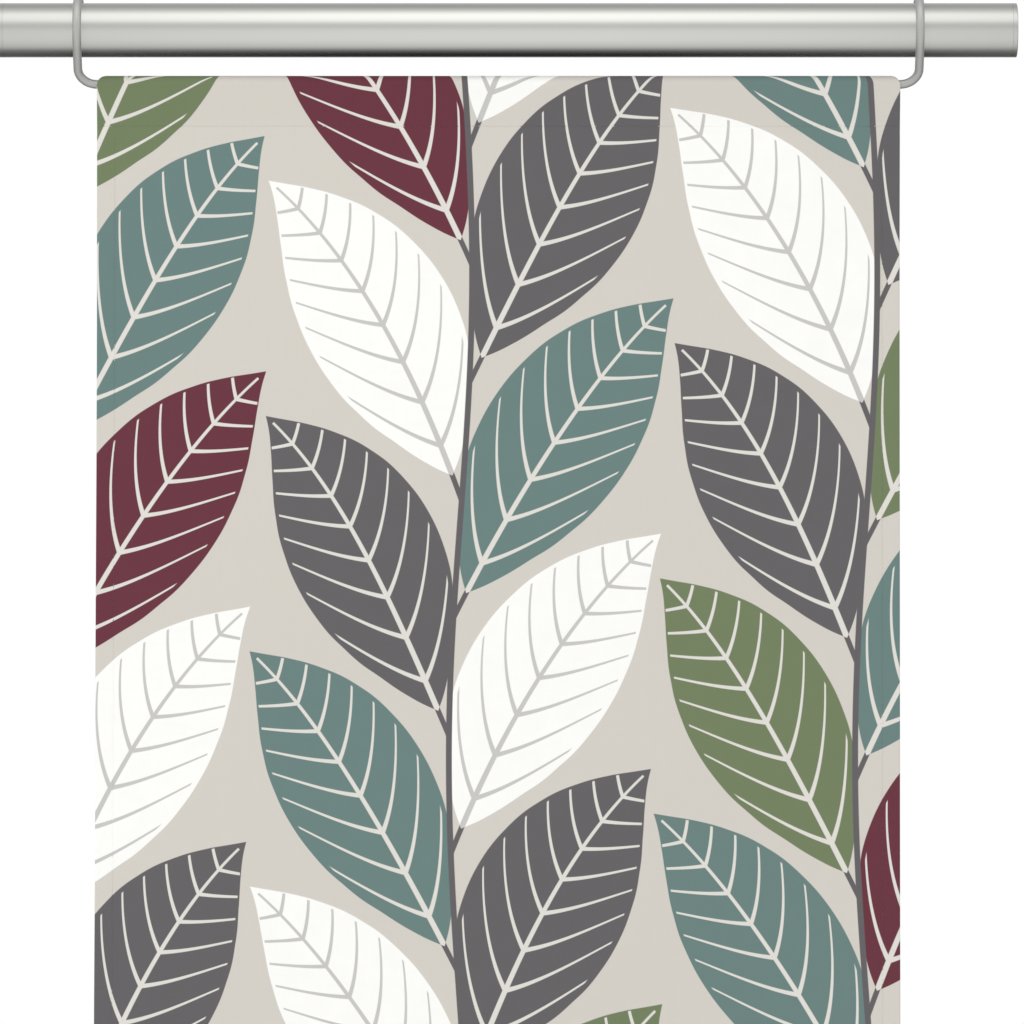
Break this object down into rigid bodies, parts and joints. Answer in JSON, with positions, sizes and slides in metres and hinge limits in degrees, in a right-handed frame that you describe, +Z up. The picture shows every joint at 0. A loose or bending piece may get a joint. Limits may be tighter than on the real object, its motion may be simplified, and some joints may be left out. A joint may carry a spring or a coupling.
{
  "type": "panel curtain with a curtain rod and wire hooks",
  "caption": "Flat printed fabric panel with a heading tunnel and bar, hung by bent wire hooks from a short round metal rod with plain end caps.",
  "frame": {"origin": "on the rod's axis, above the middle of the panel", "axes": "+Z up, +X along the rod to the right as seen from the printed front, +Y away from the printed front"},
  "size_m": [0.545, 0.039, 2.4439],
  "materials": {
    "printed_cloth": "plain-woven cloth, matt, printed with leafy stems on a warm grey ground",
    "bar_metal": "plain mill finish",
    "hook_wire": "dull zinc plate on drawn wire",
    "rod_steel": "satin, polished along its length",
    "cap_steel": "satin, as the rod"
  },
  "bodies": {
    "root": {"panel": "printed_cloth", "heading_bar": "bar_metal", "hook_left": "hook_wire", "hook_right": "hook_wire", "rod_tube": "rod_steel", "rod_cap_left": "cap_steel", "rod_cap_right": "cap_steel"}
  },
  "joints": []
}
